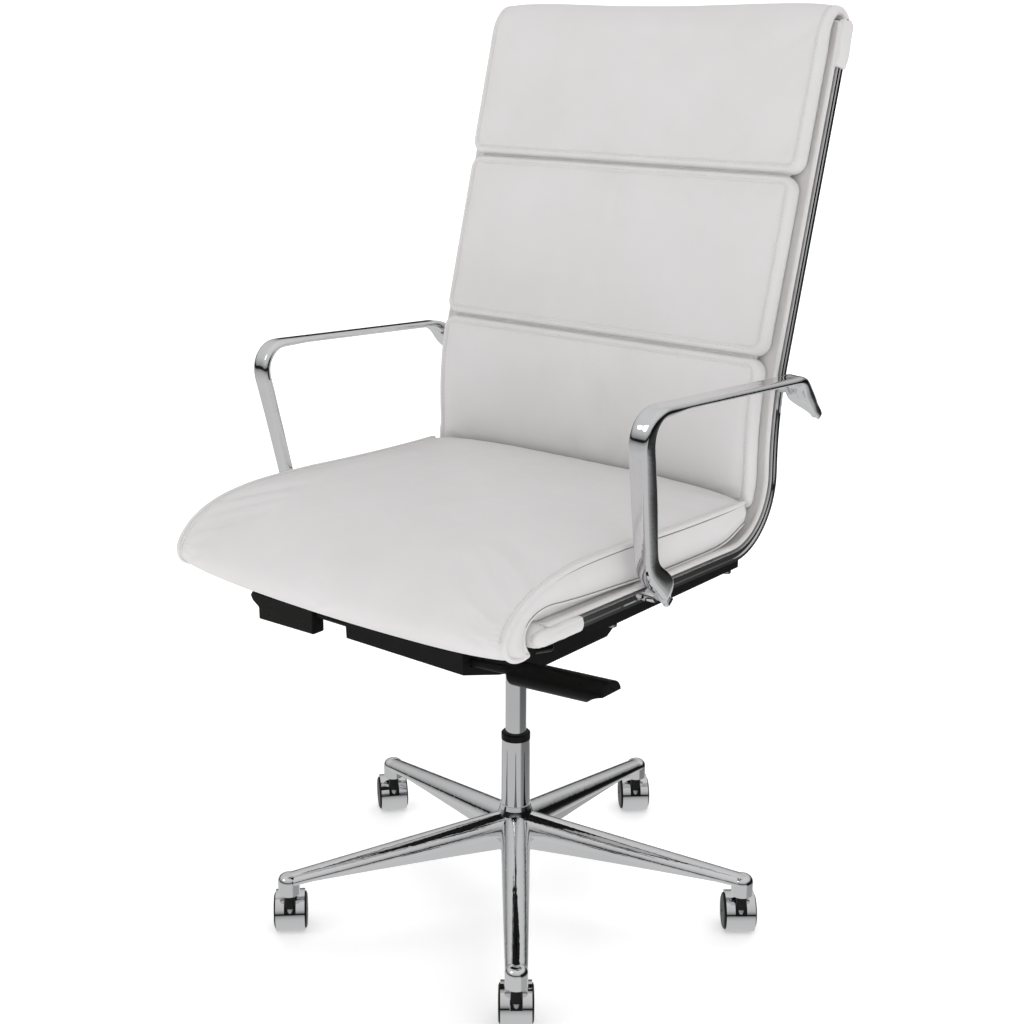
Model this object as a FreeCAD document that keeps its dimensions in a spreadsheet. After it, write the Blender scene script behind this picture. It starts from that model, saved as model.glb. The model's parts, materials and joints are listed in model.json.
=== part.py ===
import FreeCAD, Part
import math
import os
import re
import Sketcher

Vector = FreeCAD.Vector
Rotation = FreeCAD.Rotation
Placement = FreeCAD.Placement

# Swivel office chair. Origin on the floor under the gas lift, +Z up, the sitter faces -Y.
doc = FreeCAD.newDocument("SwivelOfficeChair")
sheet = doc.addObject("Spreadsheet::Sheet", "Sheet")

SIZES = {
    # five-legged base
    "leg_circle": 310, "leg_turn": -50.8, "leg_top_hub": 136, "leg_top_end": 88,
    "leg_width_hub": 39, "leg_width_end": 27, "crown_hub": 31, "crown_end": 12,
    "web_floor_hub": 83, "web_floor_end": 74, "web_width_hub": 26, "web_width_end": 12,
    "hub_radius": 25, "hub_neck": 20.5, "hub_floor": 80, "hub_top": 144,
    "socket_radius": 14, "socket_floor": 61, "socket_depth": 24, "stem_clearance": 0.05,
    # gas lift
    "stand_radius": 19, "stand_bore": 17, "stand_floor": 68, "stand_top": 238, "plate_thick": 4,
    "bush_bore": 14.05, "bush_floor": 180, "bush_rim": 19.3, "bush_top": 248,
    "rod_radius": 5, "rod_hole": 5.05, "rod_floor": 62, "rod_head": 8, "piston_radius": 11.95,
    "piston_floor": 178, "piston_top": 187, "washer_radius": 12, "washer_top": 75,
    "cylinder_radius": 14, "cylinder_bore": 12, "cylinder_floor": 172, "cylinder_top": 430,
    "taper_floor": 375, "taper_radius": 13.2, "pin_radius": 3, "pin_hole": 3.05,
    # mechanism under the seat
    "housing_width": 190, "housing_wall": 3, "axle_back": -165, "axle_height": 450,
    "axle_radius": 7.95, "axle_hole": 8, "axle_length": 208, "socket_boss": 29, "socket_body": 22,
    "lug_inside": 98, "lug_outside": 103, "lug_radius": 18, "plate_floor": 474, "plate_top": 478,
    "plate_front": -186, "plate_back": 100,
    "spring_radius": 15.5, "spring_wire": 5.5, "spring_pitch": 8, "spring_turns": 9,
    "lever_back": -200, "lever_height": 432, "lever_radius": 5, "lever_inner": 70, "lever_outer": 166,
    "lever_hole": 6.2, "lever_slope": 4, "grip_start": 158, "grip_length": 138, "grip_half_depth": 17,
    "grip_half_height": 15, "paddle_start": 160, "paddle_end": 276, "paddle_thick": 20,
    "tension_start": 104.5, "tension_arm": 150, "tension_reach": 41, "tension_radius": 6,
    # seat and back frame
    "rail_offset": 265, "rail_width": 10, "rail_depth": 12, "rail_groove": 2.2,
    "rail_front": -285, "rail_front_height": 530, "rail_corner": 178, "rail_corner_height": 523,
    "rail_lumbar": 172, "rail_lumbar_height": 690, "rail_top": 300, "rail_top_height": 1152,
    "corner_radius": 85, "lumbar_radius": 420,
    "bar_radius": 8, "stretcher_radius": 5, "stretcher_height": 748, "arm_low": -98, "arm_high": 722,
    "strip_inner": 249, "strip_width": 17, "strip_floor": 507, "strip_front": -205, "strip_back": 104,
    "member_depth": 30, "member_front": -155, "member_back": 84,
    "screw_radius": 3, "screw_head": 5.5, "screw_head_depth": 3.5,
    # upholstery
    "sling_thick": 6, "sling_width": 536, "pad_width": 512, "pad_thick": 24,
    "wrap_radius": 14, "wrap_width": 520, "lumbar_floor": 556, "lumbar_face": 136.5,
    # arms
    "arm_offset": 289, "arm_lean": 4, "recess_radius": 3.2, "recess_depth": 3,
    # castors
    "wheel_radius": 25, "wheel_inner": 7.4, "wheel_outer": 21.8, "wheel_bore": 3.05, "pin_size": 3,
    "castor_trail": 19, "hood_radius": 27.4, "hood_bore": 25.7, "hood_width": 38,
    "core_thick": 14, "boss_radius": 7.2, "boss_top": 58, "stem_radius": 5.5, "stem_floor": 26,
    "stem_top": 83, "notch_width": 15.2,
}
for row, (name, number) in enumerate(SIZES.items(), 1):
    sheet.set("A%d" % row, name)
    sheet.set("B%d" % row, str(number))
    sheet.setAlias("B%d" % row, name)
doc.recompute()

NODES = []


def size(name):
    """A driving dimension, read from the sheet."""
    return float(sheet.get(name))


def bound(text):
    """An expression on the sheet: every alias in it gets the sheet's name."""
    return re.sub(r"[a-z_]+", lambda word: "Sheet." + word.group(), text)


def node(item, label):
    """Gives a finished sub-part the label that names its file."""
    item.Label = label
    NODES.append(item)
    return item


def feature(label, shape, placement=None):
    """A sub-part whose shape is made with Part's own functions."""
    item = doc.addObject("Part::Feature", label)
    item.Shape = shape
    if placement is not None:
        item.Placement = placement
    return node(item, label)


def origin_plane(body, role):
    return [part for part in body.Origin.OriginFeatures if part.Role == role][0]


def outline(body, role, corners, lift="0"):
    """A closed outline of straight sides; each corner is a pair of expressions on the sheet."""
    sketch = body.newObject("Sketcher::SketchObject", body.Name + "Outline")
    sketch.AttachmentSupport = [(origin_plane(body, role), "")]
    sketch.MapMode = "FlatFace"
    sketch.setExpression("AttachmentOffset.Base.z", bound(lift))
    count = len(corners)
    spots = []
    for index in range(count):
        turn = 2 * math.pi * index / count
        spots.append(Vector(100 * math.cos(turn), 100 * math.sin(turn), 0))
    for index in range(count):
        sketch.addGeometry(Part.LineSegment(spots[index], spots[(index + 1) % count]), False)
    for index in range(count):
        sketch.addConstraint(Sketcher.Constraint("Coincident", index, 2, (index + 1) % count, 1))
    for index, pair in enumerate(corners):
        for kind, text, start in zip(("DistanceX", "DistanceY"), pair, spots[index]):
            number = sketch.addConstraint(Sketcher.Constraint(kind, -1, 1, index, 1, start))
            sketch.setExpression("Constraints[%d]" % number, bound(text))
    doc.recompute()
    return sketch


def circle(body, role, centre, radius, lift="0"):
    """A circle whose centre and radius are expressions on the sheet."""
    sketch = body.newObject("Sketcher::SketchObject", body.Name + "Circle")
    sketch.AttachmentSupport = [(origin_plane(body, role), "")]
    sketch.MapMode = "FlatFace"
    sketch.setExpression("AttachmentOffset.Base.z", bound(lift))
    sketch.addGeometry(Part.Circle(Vector(1, 1, 0), Vector(0, 0, 1), 5), False)
    for kind, text in zip(("DistanceX", "DistanceY"), centre):
        number = sketch.addConstraint(Sketcher.Constraint(kind, -1, 1, 0, 3, 1))
        sketch.setExpression("Constraints[%d]" % number, bound(text))
    number = sketch.addConstraint(Sketcher.Constraint("Radius", 0, 5))
    sketch.setExpression("Constraints[%d]" % number, bound(radius))
    doc.recompute()
    return sketch


def new_body(label):
    return node(doc.addObject("PartDesign::Body", label), label)


def revolve(body, corners, axis="V_Axis", role="XZ_Plane"):
    """A turned piece from an outline of (radius, height) corners."""
    sketch = outline(body, role, corners)
    turned = body.newObject("PartDesign::Revolution", body.Name + "Turned")
    turned.Profile = sketch
    turned.ReferenceAxis = (sketch, [axis])
    turned.Angle = 360
    doc.recompute()
    return turned


def pad(body, sketch, length, both_ways=True, reverse=False):
    """A plate of the given thickness, on both sides of its sketch or on one."""
    plate = body.newObject("PartDesign::Pad", body.Name + "Pad")
    plate.Profile = sketch
    plate.setExpression("Length", bound(length))
    plate.Midplane = both_ways
    plate.Reversed = reverse
    doc.recompute()
    return plate


def pocket(body, sketch, length, both_ways=True, reverse=False):
    """A cut through the body; it stops the build if it removes nothing."""
    before = body.Shape.Volume
    cut = body.newObject("PartDesign::Pocket", body.Name + "Pocket")
    cut.Profile = sketch
    cut.setExpression("Length", bound(length))
    cut.Midplane = both_ways
    cut.Reversed = reverse
    doc.recompute()
    assert body.Shape.Volume < before - 1e-3, body.Label + ": a pocket cut nothing"
    return cut


def cylinder(radius, height, base, direction=Vector(0, 0, 1)):
    return Part.makeCylinder(radius, height, base, direction)


def turned_about_z(degrees, spot=Vector(0, 0, 0)):
    return Placement(spot, Rotation(Vector(0, 0, 1), degrees))


# ---------------------------------------------------------------- base
def leg_section(reach):
    """The leg's cross-section at a distance from the axis: a rounded crown over a narrower web."""
    share = reach / size("leg_circle")

    def between(start, end, power=1.0):
        return start + (end - start) * share ** power

    half = between(size("leg_width_hub"), size("leg_width_end"), 1.3) / 2
    top = between(size("leg_top_hub"), size("leg_top_end"))
    crease = top - between(size("crown_hub"), size("crown_end"), 0.75)
    web = between(size("web_width_hub"), size("web_width_end")) / 2
    floor = between(size("web_floor_hub"), size("web_floor_end"), 1.5)

    def spot(across, height):
        return Vector(reach, across, height)

    lift = top - crease
    crown = Part.BSplineCurve()
    crown.interpolate([
        spot(-0.93 * half, crease), spot(-half, crease + 0.34 * lift),
        spot(-0.62 * half, crease + 0.83 * lift), spot(0, top), spot(0.62 * half, crease + 0.83 * lift),
        spot(half, crease + 0.34 * lift), spot(0.93 * half, crease)])
    corners = [spot(0.93 * half, crease), spot(web, crease - 1.5), spot(0.9 * web, floor),
               spot(-0.9 * web, floor), spot(-web, crease - 1.5), spot(-0.93 * half, crease)]
    sides = [Part.LineSegment(a, b).toShape() for a, b in zip(corners, corners[1:])]
    return Part.Wire([crown.toShape()] + sides)


def leg_hollow():
    """The open channel under a leg, seen only from below."""
    near, far = 34, size("leg_circle") - 2 * size("socket_radius")

    def mouth(reach, half, top):
        corners = [Vector(reach, -half, 60), Vector(reach, half, 60), Vector(reach, half, top),
                   Vector(reach, -half, top), Vector(reach, -half, 60)]
        return Part.makePolygon(corners)

    return Part.makeLoft([mouth(near, 8.5, 112), mouth(far, 3, 80)], True, True)


def star_base():
    reaches = [6, 60, 130, 220, size("leg_circle")]
    leg = Part.makeLoft([leg_section(reach) for reach in reaches], True, False)
    socket = cylinder(size("socket_radius"), size("leg_top_end") - size("socket_floor"),
                      Vector(size("leg_circle"), 0, size("socket_floor")))
    rim = [edge for edge in socket.Edges if abs(edge.BoundBox.ZMin - size("leg_top_end")) < 0.01
           and edge.BoundBox.ZLength < 0.01]
    socket = socket.makeFillet(9, rim)
    one = leg.cut(leg_hollow()).fuse(socket)
    hub = Part.Wire(Part.makePolygon([
        Vector(0, 0, size("hub_floor")), Vector(size("hub_radius"), 0, size("hub_floor")),
        Vector(size("hub_radius") + 1, 0, 104), Vector(size("hub_radius") - 1.5, 0, 130),
        Vector(size("hub_neck") + 0.6, 0, 138), Vector(size("hub_neck"), 0, size("hub_top")),
        Vector(0, 0, size("hub_top")), Vector(0, 0, size("hub_floor"))]).Edges)
    whole = Part.Face(hub).revolve(Vector(0, 0, 0), Vector(0, 0, 1), 360)
    for index in range(5):
        arm = one.copy()
        arm.rotate(Vector(0, 0, 0), Vector(0, 0, 1), 72 * index)
        whole = whole.fuse(arm)
    whole = whole.removeSplitter()
    whole = whole.cut(cylinder(size("stand_radius"), 100, Vector(0, 0, size("hub_floor") - 10)))
    for index in range(5):
        turn = math.radians(72 * index)
        spot = Vector(size("leg_circle") * math.cos(turn), size("leg_circle") * math.sin(turn), 50)
        bore = cylinder(size("stem_radius") + size("stem_clearance"),
                        size("socket_floor") - 50 + size("socket_depth"), spot)
        whole = whole.cut(bore)
    feature("star_base", whole, turned_about_z(size("leg_turn")))


def gas_lift():
    tube = new_body("stand_tube")
    revolve(tube, [
        ("rod_hole", "stand_floor"), ("stand_radius", "stand_floor"), ("stand_radius", "stand_top"),
        ("stand_bore", "stand_top"), ("stand_bore", "stand_floor + plate_thick"),
        ("rod_hole", "stand_floor + plate_thick")])
    bush = new_body("guide_bush")
    revolve(bush, [
        ("bush_bore", "bush_floor"), ("stand_bore", "bush_floor"), ("stand_bore", "stand_top"),
        ("bush_rim", "stand_top"), ("bush_rim", "bush_top - 2"), ("bush_rim - 2", "bush_top"),
        ("bush_bore", "bush_top")])
    rod = new_body("piston_rod")
    revolve(rod, [
        ("0", "rod_floor"), ("rod_head", "rod_floor"), ("rod_head", "stand_floor - 0.1"),
        ("rod_radius", "stand_floor - 0.1"), ("rod_radius", "piston_floor"),
        ("piston_radius", "piston_floor"), ("piston_radius", "piston_top"), ("0", "piston_top")])
    washer = new_body("thrust_washer")
    revolve(washer, [
        ("rod_radius", "stand_floor + plate_thick + 0.1"),
        ("washer_radius", "stand_floor + plate_thick + 0.1"),
        ("washer_radius", "washer_top"), ("rod_radius", "washer_top")])
    cylinder_body = new_body("lift_cylinder")
    revolve(cylinder_body, [
        ("rod_hole", "cylinder_floor"), ("cylinder_radius", "cylinder_floor"),
        ("cylinder_radius", "taper_floor"), ("taper_radius", "cylinder_top"),
        ("pin_hole", "cylinder_top"), ("pin_hole", "cylinder_top - 6"),
        ("cylinder_bore", "cylinder_top - 6"), ("cylinder_bore", "cylinder_floor + 4"),
        ("rod_hole", "cylinder_floor + 4")])
    pin = new_body("release_pin")
    revolve(pin, [
        ("0", "cylinder_top - 16"), ("pin_radius + 2", "cylinder_top - 16"),
        ("pin_radius + 2", "cylinder_top - 12"), ("pin_radius", "cylinder_top - 12"),
        ("pin_radius", "cylinder_top + 5"), ("0", "cylinder_top + 5")])


# ---------------------------------------------------------------- mechanism
def mechanism():
    socket = new_body("taper_socket")
    revolve(socket, [
        ("cylinder_radius + 0.8", "taper_floor - 23"), ("socket_boss", "taper_floor - 23"),
        ("socket_boss", "taper_floor + 3"), ("socket_body", "taper_floor + 9"),
        ("socket_body", "cylinder_top"), ("taper_radius", "cylinder_top"),
        ("cylinder_radius", "taper_floor"), ("cylinder_radius + 0.8", "taper_floor - 1")])

    housing = new_body("mechanism_housing")
    shell = outline(housing, "YZ_Plane", [
        ("-218", "455"), ("-216", "420"), ("-150", "400"), ("-60", "384"), ("70", "384"),
        ("96", "400"), ("96", "416"), ("-140", "462")])
    pad(housing, shell, "housing_width")
    inside = outline(housing, "YZ_Plane", [
        ("-218 + housing_wall", "480"), ("-216 + housing_wall", "422.5"), ("-150", "403"),
        ("-60", "384 + housing_wall"), ("69", "384 + housing_wall"),
        ("96 - housing_wall", "401.6"), ("96 - housing_wall", "480")])
    pocket(housing, inside, "housing_width - 2 * housing_wall")
    pocket(housing, circle(housing, "XY_Plane", ("0", "0"), "socket_body"), "1000")
    pocket(housing, circle(housing, "YZ_Plane", ("axle_back", "axle_height"), "axle_radius"), "300")
    pocket(housing, circle(housing, "YZ_Plane", ("lever_back", "lever_height"), "lever_hole"), "300")

    axle = new_body("pivot_axle")
    pad(axle, circle(axle, "YZ_Plane", ("axle_back", "axle_height"), "axle_radius"), "axle_length")

    turns, pitch = size("spring_turns"), size("spring_pitch")
    helix = Part.makeHelix(pitch, turns * pitch, size("spring_radius"))
    wire = Part.Wire(Part.makeCircle(size("spring_wire") / 2, Vector(size("spring_radius"), 0, 0),
                                     Vector(0, 1, 0)))
    coil = Part.Wire(helix).makePipeShell([wire], True, True)
    spot = Vector(-turns * pitch / 2, size("axle_back"), size("axle_height"))
    feature("tilt_spring", coil, Placement(spot, Rotation(Vector(0, 1, 0), 90)))


def lever_placement(side):
    """A lever's own frame: its origin on the housing wall and its rod along +X, sloping up a little."""
    spot = Vector(side * size("housing_width") / 2, size("lever_back"), size("lever_height"))
    if side > 0:
        return Placement(spot, Rotation(Vector(0, 1, 0), -size("lever_slope")))
    return Placement(spot, Rotation(Vector(0, 0, 1), 180))


def levers():
    wall = size("housing_width") / 2
    inner = size("lever_inner") - wall
    length = size("lever_outer") - size("lever_inner")
    rod = cylinder(size("lever_radius"), length, Vector(inner, 0, 0), Vector(1, 0, 0))
    feature("lock_lever", rod, lever_placement(1))
    feature("height_lever", rod, lever_placement(-1))

    socket = cylinder(size("lever_radius"), size("lever_outer") - wall, Vector(0, 0, 0), Vector(1, 0, 0))
    start = size("grip_start") - wall
    oval = Part.Ellipse(Vector(start, 0, 0), size("grip_half_depth"), size("grip_half_height"))
    oval = Part.Wire(oval.toShape())
    oval.rotate(Vector(start, 0, 0), Vector(0, 0, 1), 90)
    oval.rotate(Vector(start, 0, 0), Vector(0, 1, 0), 90)
    grip = Part.Face(oval).extrude(Vector(size("grip_length"), 0, 0))
    end = start + size("grip_length")
    scoop = cylinder(70, 100, Vector(end + 14, -50, -68), Vector(0, 1, 0))
    grip = grip.cut(scoop)
    inner_rim = [edge for edge in grip.Edges if edge.BoundBox.XMax < start + 0.01]
    grip = grip.makeFillet(4, inner_rim)
    feature("lock_grip", grip.cut(socket), lever_placement(1))

    start = size("paddle_start") - wall
    end = size("paddle_end") - wall
    half = size("paddle_thick") / 2
    side = [Vector(start, -half, -26), Vector(end - 15, -half, -28), Vector(end - 15, -half, -12),
            Vector(end - 4, -half, -5), Vector(end, -half, 2), Vector(end - 4, -half, 8),
            Vector(start, -half, 8), Vector(start, -half, -26)]
    paddle = Part.Face(Part.makePolygon(side)).extrude(Vector(0, 2 * half, 0))
    paddle = paddle.makeFillet(2.5, paddle.Edges)
    feature("height_paddle", paddle.cut(socket), lever_placement(-1))

    thick = size("tension_radius")
    boss = cylinder(9, size("tension_arm") + thick - size("tension_start"),
                    Vector(size("tension_start"), 0, 0), Vector(1, 0, 0))
    corner = Vector(size("tension_arm"), 0, 0)
    way = Vector(0, 1, -0.2).normalize()
    arm = cylinder(thick, size("tension_reach"), corner, way)
    tip = Part.makeSphere(thick)
    tip.translate(corner + way * size("tension_reach"))
    feature("tension_lever", boss.fuse([arm, tip]).removeSplitter(),
            Placement(Vector(0, size("axle_back"), size("axle_height")), Rotation()))


# ---------------------------------------------------------------- seat and back frame
def rail_corners():
    return [Vector(0, size("rail_front"), size("rail_front_height")),
            Vector(0, size("rail_corner"), size("rail_corner_height")),
            Vector(0, size("rail_lumbar"), size("rail_lumbar_height")),
            Vector(0, size("rail_top"), size("rail_top_height"))]


def rounded_path(corners, radii):
    """Straight runs joined by tangent arcs, one radius at each inner corner."""
    edges = []
    last = corners[0]
    for index, radius in enumerate(radii, 1):
        before = (corners[index - 1] - corners[index]).normalize()
        after = (corners[index + 1] - corners[index]).normalize()
        half = before.getAngle(after) / 2
        reach = radius / math.tan(half)
        start = corners[index] + before * reach
        end = corners[index] + after * reach
        middle = (before + after).normalize()
        crest = corners[index] + middle * (radius / math.sin(half) - radius)
        edges.append(Part.LineSegment(last, start).toShape())
        edges.append(Part.Arc(start, crest, end).toShape())
        last = end
    edges.append(Part.LineSegment(last, corners[-1]).toShape())
    return Part.Wire(edges)


def rail_path(offset=0.0):
    """The side view of seat and back: the rail's centre line, moved towards the sitter by an offset."""
    corners = rail_corners()
    directions = [(b - a).normalize() for a, b in zip(corners, corners[1:])]
    inward = [Vector(0, -way.z, way.y) for way in directions]
    moved = [corners[0] + inward[0] * offset]
    for index in (1, 2):
        bisector = (inward[index - 1] + inward[index]).normalize()
        moved.append(corners[index] + bisector * (offset / bisector.dot(inward[index])))
    moved.append(corners[3] + inward[2] * offset)
    return rounded_path(moved, [size("corner_radius") - offset, size("lumbar_radius") + offset])


def back_spot(height, offset=0.0):
    """The point of the rail line at a height up the back, moved square to it towards the sitter."""
    level = Part.makeLine(Vector(0, 120, height), Vector(0, 400, height))
    spot = rail_path().distToShape(level)[1][0][0]
    if offset == 0:
        return spot
    return rail_path(offset).distToShape(Part.Vertex(spot))[1][0][0]


def seat_spot(back):
    """The point of the rail line at a place along the seat."""
    start, end = rail_corners()[:2]
    return start + (end - start) * ((back - start.y) / (end.y - start.y))


def band(inner, outer, width):
    """A sheet that follows the rails between two offsets, centred on the chair's middle plane."""
    near, far = rail_path(inner), rail_path(outer)
    caps = [Part.LineSegment(near.Vertexes[0].Point, far.Vertexes[0].Point).toShape(),
            Part.LineSegment(near.Vertexes[-1].Point, far.Vertexes[-1].Point).toShape()]
    face = Part.Face(Part.Wire(Part.__sortEdges__(near.Edges + far.Edges + caps)))
    face.translate(Vector(-width / 2, 0, 0))
    return face.extrude(Vector(width, 0, 0))


def arm_holes():
    """Where each arm is screwed to its rail, as side-view points."""
    return [seat_spot(size("arm_low")), back_spot(size("arm_high"))]


def frame_holes():
    """Where the seat frame is screwed to the rails from below, in plan."""
    across = size("strip_inner") + size("strip_width") - 4
    members = ("member_front", "member_back")
    return [Vector(side * across, size(member), 0) for side in (1, -1) for member in members]


def side_rail(label, side):
    """A grooved rail swept along the side view of seat and back."""
    half, depth, groove = size("rail_width") / 2, size("rail_depth") / 2, size("rail_groove")
    path = rail_path()
    start = path.Vertexes[0].Point
    profile = [(-half, -depth), (half, -depth), (half, -groove), (half - 1.5, -groove),
               (half - 1.5, groove), (half, groove), (half, depth), (-half, depth), (-half, -depth)]
    section = Part.makePolygon([start + Vector(side * across, 0, up) for across, up in profile])
    rail = path.makePipeShell([section], True, False)
    rail.translate(Vector(side * size("rail_offset"), 0, 0))
    for spot in arm_holes():
        beside = spot + Vector(side * size("rail_offset") - 30, 0, 0)
        rail = rail.cut(cylinder(size("screw_radius"), 60, beside, Vector(1, 0, 0)))
    for spot in frame_holes():
        rail = rail.cut(cylinder(size("screw_radius"), 22, spot + Vector(0, 0, size("strip_floor"))))
    feature(label, rail)


def cross_bar(label, centre, radius):
    """A round bar from rail to rail."""
    reach = size("rail_offset") - size("rail_width") / 2
    item = doc.addObject("Part::Cylinder", label)
    item.setExpression("Radius", bound(radius))
    item.setExpression("Height", bound("2 * rail_offset - rail_width"))
    item.Placement = Placement(centre + Vector(-reach, 0, 0), Rotation(Vector(0, 1, 0), 90))
    node(item, label)


def tilt_plate():
    body = new_body("tilt_plate")
    channel = outline(body, "XZ_Plane", [
        ("-lug_outside", "axle_height - lug_radius"), ("-lug_inside", "axle_height - lug_radius"),
        ("-lug_inside", "plate_floor"), ("lug_inside", "plate_floor"),
        ("lug_inside", "axle_height - lug_radius"), ("lug_outside", "axle_height - lug_radius"),
        ("lug_outside", "plate_top"), ("-lug_outside", "plate_top")], "-plate_back")
    pad(body, channel, "plate_back - plate_front", both_ways=False)
    trim = outline(body, "YZ_Plane", [
        ("axle_back + lug_radius + 3", "400"), ("plate_back + 10", "400"),
        ("plate_back + 10", "plate_floor - 10"), ("axle_back + lug_radius + 18", "plate_floor - 10")])
    pocket(body, trim, "300")
    pocket(body, circle(body, "YZ_Plane", ("axle_back", "axle_height"), "axle_hole"), "300")


def seat_frame():
    body = new_body("seat_frame")
    edge = "strip_inner + strip_width"
    for centre in ("member_front", "member_back"):
        bow = outline(body, "XZ_Plane", [
            ("-(" + edge + ")", "strip_floor"), ("-228", "strip_floor"), ("-112", "plate_top"),
            ("112", "plate_top"), ("228", "strip_floor"), (edge, "strip_floor"), (edge, "strip_floor + 9"),
            ("224", "strip_floor + 9"), ("110", "plate_top + 13"), ("-110", "plate_top + 13"),
            ("-224", "strip_floor + 9"), ("-(" + edge + ")", "strip_floor + 9")], "-(" + centre + ")")
        pad(body, bow, "member_depth")
    for start in ("strip_inner", "-strip_inner - strip_width"):
        strip = outline(body, "YZ_Plane", [
            ("strip_front", "strip_floor + 6"), ("strip_front + 30", "strip_floor"),
            ("strip_back", "strip_floor"),
            ("strip_back", "rail_corner_height - rail_depth / 2 - 0.5"),
            ("strip_front", "rail_front_height - rail_depth / 2 - 1.6")], start)
        pad(body, strip, "strip_width", both_ways=False)
    for spot in frame_holes():
        hole = circle(body, "XY_Plane", (str(spot.x), str(spot.y)), "screw_radius", "strip_floor - 20")
        pocket(body, hole, "60", both_ways=False, reverse=True)


def screw(length):
    """A button-headed screw, its head's flat side at the origin and its shank along +Z."""
    head = cylinder(size("screw_head"), size("screw_head_depth"), Vector(0, 0, -size("screw_head_depth")))
    head = head.makeFillet(1.2, [edge for edge in head.Edges
                                 if edge.BoundBox.ZMax < -size("screw_head_depth") + 0.01])
    return head.fuse(cylinder(size("screw_radius"), length, Vector(0, 0, 0)))


# ---------------------------------------------------------------- upholstery
def wrap_centre(end):
    """The centre of the bar that the sling is wrapped round: the front bar or the top bar."""
    if end == "front":
        return Vector(0, size("rail_front") - 1, size("rail_front_height") - 0.5)
    return back_spot(size("rail_top_height") - 6, 0)


def flat(spot):
    return (spot.y, spot.z)


def ring(centre, radius, turns):
    """Side-view points on a circle, at angles in degrees."""
    angles = [math.radians(turn) for turn in turns]
    return [(centre.y + radius * math.cos(angle), centre.z + radius * math.sin(angle)) for angle in angles]


def pad_solid(corners):
    """A cushion of constant side view across the chair."""
    side = Part.makePolygon([Vector(0, y, z) for y, z in corners] + [Vector(0, *corners[0])])
    face = Part.Face(side)
    face.translate(Vector(-size("pad_width") / 2, 0, 0))
    return face.extrude(Vector(size("pad_width"), 0, 0))


def back_pad(rear, front, low, high):
    """A cushion that follows the back between two heights of the rail line."""
    low_end = [flat(back_spot(low, -40)), flat(back_spot(low, 60))]
    high_end = [flat(back_spot(high, 60)), flat(back_spot(high, -40))]
    return band(rear, front, size("pad_width")).common(pad_solid(low_end + high_end))


def upholstery():
    inner = size("rail_depth") / 2
    outer = inner + size("sling_thick")
    sling = band(inner, outer, size("sling_width"))
    half = size("wrap_width") / 2
    for end in ("front", "top"):
        centre = wrap_centre(end) + Vector(-half, 0, 0)
        roll = cylinder(size("wrap_radius"), size("wrap_width"), centre, Vector(1, 0, 0))
        roll = roll.cut(cylinder(size("bar_radius"), size("wrap_width"), centre, Vector(1, 0, 0)))
        sling = sling.cut(cylinder(size("wrap_radius") - 2, size("wrap_width"), centre, Vector(1, 0, 0)))
        sling = sling.fuse(roll)
    feature("sling", sling.removeSplitter())

    feature("seat_pad", pad_solid(
        [(-262, 543.5), (92, 537.5), (114, 542), (131, 556), (134, 582), (120, 591), (-60, 598),
         (-200, 594), (-290, 582), (-328, 562), (-341, 536), (-333, 513), (-314, 503)]
        + ring(wrap_centre("front"), size("wrap_radius") + 1.5, (240, 210, 180, 150, 120, 90))))

    rear, front = outer, outer + size("pad_thick")
    lumbar = back_pad(rear, front, size("lumbar_floor"), 748)
    lumbar = lumbar.cut(Part.makeBox(800, 200, 70, Vector(-400, size("lumbar_face") - 200, 545)))
    feature("lumbar_pad", lumbar)
    feature("middle_pad", back_pad(rear, front, 752, 962))

    top = wrap_centre("top")
    feature("headrest_pad", pad_solid(
        [flat(back_spot(967, rear)), flat(back_spot(967, front)), flat(back_spot(1120, front + 2))]
        + ring(top + Vector(0, -1, -8), 33, (150, 120, 90, 60, 30, 0))
        + [(top.y + 30, top.z - 50), (top.y + 19, top.z - 50)]
        + ring(top, size("wrap_radius") + 1.5, (0, 30, 60, 90, 120, 150, 180))
        + [flat(back_spot(1130, rear + 1))]))


# ---------------------------------------------------------------- arms
def arm_section(centre, way, inside, outside, depth, outer_depth):
    """A rounded section across an arm, from its inner edge to its outer edge."""
    inward = Vector(0, way.z, -way.y).normalize()
    middle = (outside - inside) / 2
    half = (outside + inside) / 2
    spots = [(-half, 0.5 * depth), (-0.8 * half, 0.06 * depth), (0, -0.05 * depth),
             (0.8 * half, 0.06 * outer_depth), (half, 0.5 * outer_depth), (0.8 * half, 0.95 * outer_depth),
             (0, 0.38 * (depth + outer_depth) + 1), (-0.8 * half, 0.95 * depth)]
    curve = Part.BSplineCurve()
    curve.interpolate([centre + Vector(middle + across, 0, 0) + inward * into for across, into in spots],
                      PeriodicFlag=True)
    return Part.Wire(curve.toShape())


def eased(share, stations):
    """Sizes at a share of the way along the arm, eased from one station to the next."""
    for (low, before), (high, after) in zip(stations, stations[1:]):
        if share <= high:
            step = (share - low) / (high - low)
            step = step * step * (3 - 2 * step)
            return [start + (end - start) * step for start, end in zip(before, after)]
    return list(stations[-1][1])


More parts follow.
